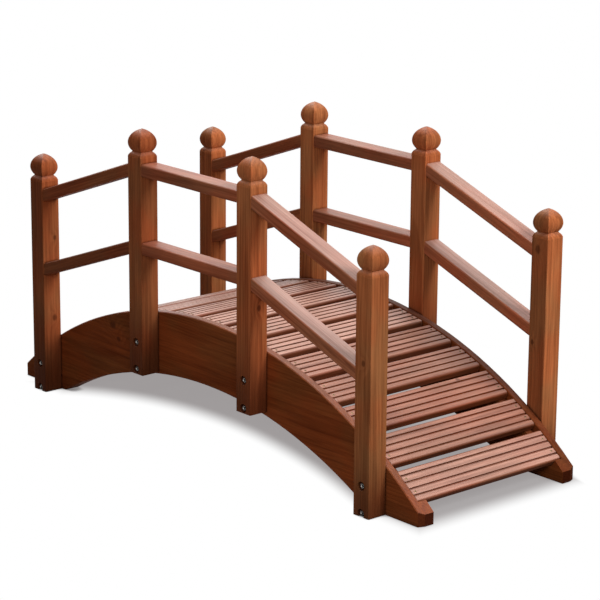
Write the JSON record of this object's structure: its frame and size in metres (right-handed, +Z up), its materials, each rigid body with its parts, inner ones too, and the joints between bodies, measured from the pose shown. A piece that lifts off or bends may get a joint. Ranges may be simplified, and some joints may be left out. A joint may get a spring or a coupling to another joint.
{
  "type": "moon bridge",
  "caption": "Arched wooden garden footbridge: ribbed treads laid in rebated bow-shaped side beams, with sloping rails between posts that end in square ball finials.",
  "frame": {"origin": "on the ground under the middle of the span, midway between the two sides", "axes": "+X along the walk towards the near end, +Y across the walk towards the right-hand side of someone walking to the far end, +Z up"},
  "size_m": [1.5, 0.6, 0.748],
  "materials": {
    "beam_wood": "red-brown stained softwood, satin",
    "post_wood": "red-brown stained softwood, satin",
    "rail_wood": "red-brown stained softwood, satin",
    "tread_wood": "red-brown stained ribbed softwood, satin"
  },
  "bodies": {
    "root": {"left_side_beam": "beam_wood", "left_near_end_post": "post_wood", "left_near_inner_post": "post_wood", "left_far_inner_post": "post_wood", "left_far_end_post": "post_wood", "left_near_top_rail": "rail_wood", "left_near_lower_rail": "rail_wood", "left_middle_top_rail": "rail_wood", "left_middle_lower_rail": "rail_wood", "left_far_top_rail": "rail_wood", "left_far_lower_rail": "rail_wood", "right_side_beam": "beam_wood", "right_near_end_post": "post_wood", "right_near_inner_post": "post_wood", "right_far_inner_post": "post_wood", "right_far_end_post": "post_wood", "right_near_top_rail": "rail_wood", "right_near_lower_rail": "rail_wood", "right_middle_top_rail": "rail_wood", "right_middle_lower_rail": "rail_wood", "right_far_top_rail": "rail_wood", "right_far_lower_rail": "rail_wood", "tread_01": "tread_wood", "tread_02": "tread_wood", "tread_03": "tread_wood", "tread_04": "tread_wood", "tread_05": "tread_wood", "tread_06": "tread_wood", "tread_07": "tread_wood", "tread_08": "tread_wood", "tread_09": "tread_wood", "tread_10": "tread_wood", "tread_11": "tread_wood", "tread_12": "tread_wood", "tread_13": "tread_wood", "tread_14": "tread_wood", "tread_15": "tread_wood"}
  },
  "joints": []
}
